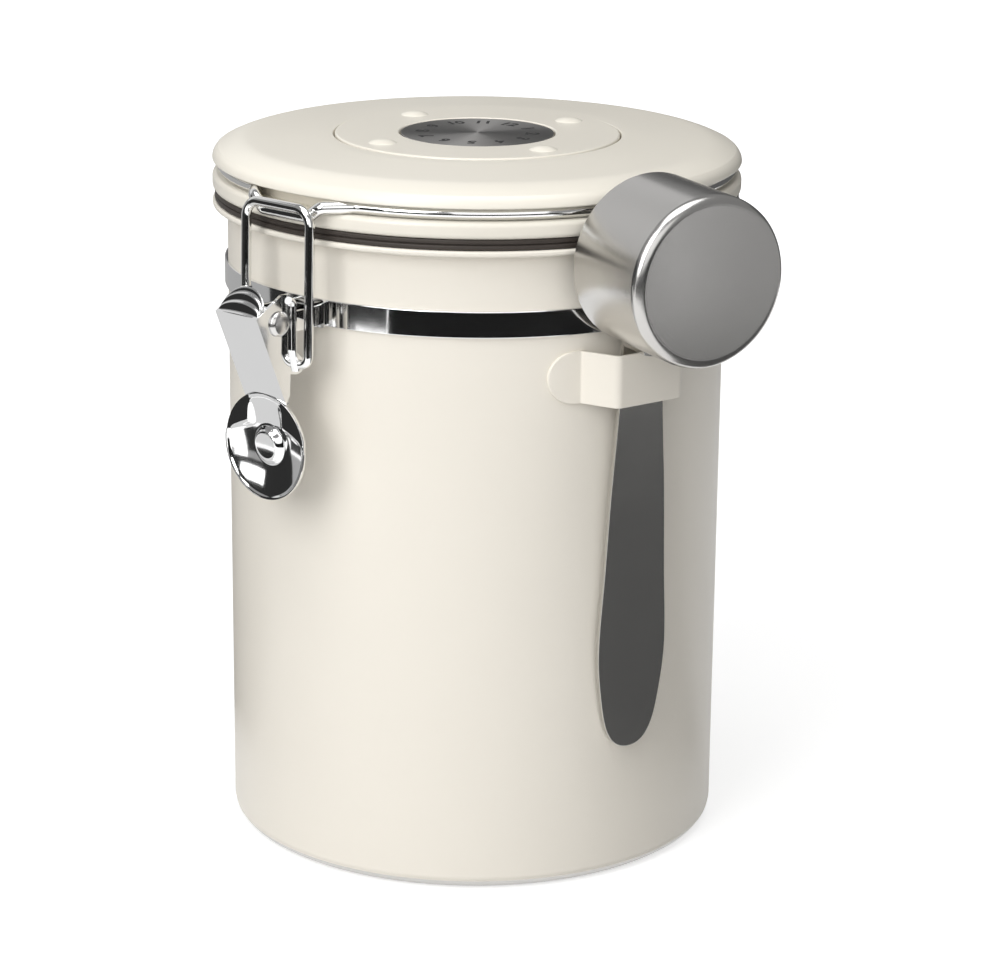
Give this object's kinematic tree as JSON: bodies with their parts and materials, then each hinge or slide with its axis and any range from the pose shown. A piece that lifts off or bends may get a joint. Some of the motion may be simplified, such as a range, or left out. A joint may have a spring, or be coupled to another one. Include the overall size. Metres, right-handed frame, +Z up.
{
  "type": "coffee canister with valve",
  "caption": "Round steel coffee canister with a wire-clasped hinged lid, silicone gasket, month dial, one-way valve and a hanging scoop.",
  "frame": {"origin": "centre of the canister's flat bottom", "axes": "+Z up along the canister's axis, -Y towards the clasp, +Y towards the lid's hinge, +X to the side of the scoop"},
  "size_m": [0.1582, 0.1512, 0.1719],
  "materials": {
    "body_enamel": "smooth satin cream paint",
    "plated_steel": "bright plated sheet steel",
    "plated_wire": "bright drawn wire",
    "lid_plastic": "fine satin moulded plastic",
    "dial_plastic": "fine satin moulded plastic",
    "disc_steel": "spun brushed steel",
    "gasket_silicone": "matte dark silicone",
    "valve_plastic": "matte moulded plastic",
    "filter_felt": "pressed felt",
    "scoop_steel": "drawn brushed steel"
  },
  "bodies": {
    "canister": {"canister_body": "body_enamel", "neck_band": "plated_steel", "clasp_bracket": "plated_steel", "clasp_rivet": "plated_steel", "hinge_bracket": "plated_steel", "scoop_holder": "body_enamel"},
    "lid": {"lid_cover": "lid_plastic", "lid_base": "lid_plastic", "lid_gasket": "gasket_silicone", "lid_wire": "plated_wire", "dial_hub": "dial_plastic", "dial_screw": "plated_steel", "month_disc": "disc_steel", "valve_body": "valve_plastic", "valve_cap": "valve_plastic", "valve_filter": "filter_felt", "valve_grille": "valve_plastic", "valve_nut": "valve_plastic"},
    "dial": {"dial_ring": "dial_plastic"},
    "valve": {"valve_flap": "gasket_silicone"},
    "lever": {"clasp_lever": "plated_steel"},
    "bail": {"clasp_bail": "plated_wire"},
    "scoop": {"scoop_cup": "scoop_steel", "scoop_handle": "scoop_steel"}
  },
  "joints": [
    {"name": "lid_hinge", "type": "hinge", "parent": "canister", "child": "lid", "pos_m": [0, 0.067, 0.146], "axis": [-1, 0, 0], "range_deg": [0, 100]},
    {"name": "lever_hinge", "type": "hinge", "parent": "canister", "child": "lever", "pos_m": [0, -0.0744, 0.1377], "axis": [-1, 0, 0], "range_deg": [0, 90]},
    {"name": "bail_hinge", "type": "hinge", "parent": "lever", "child": "bail", "pos_m": [0, -0.0686, 0.1274], "axis": [1, 0, 0], "range_deg": [0, 150]},
    {"name": "dial_spin", "type": "hinge", "parent": "lid", "child": "dial", "pos_m": [0, 0, 0.1695], "axis": [0, 0, 1], "continuous": true},
    {"name": "valve_lift", "type": "slide", "parent": "lid", "child": "valve", "axis": [0, 0, 1], "range_m": [0, 0.0006]},
    {"name": "scoop_lift", "type": "slide", "parent": "canister", "child": "scoop", "axis": [0.0298, -0.01, 0.9995], "range_m": [0, 0.1]}
  ],
  "couplings": [
    {"joint": "bail_hinge", "follows": "lever_hinge", "ratio": 1.6666}
  ]
}
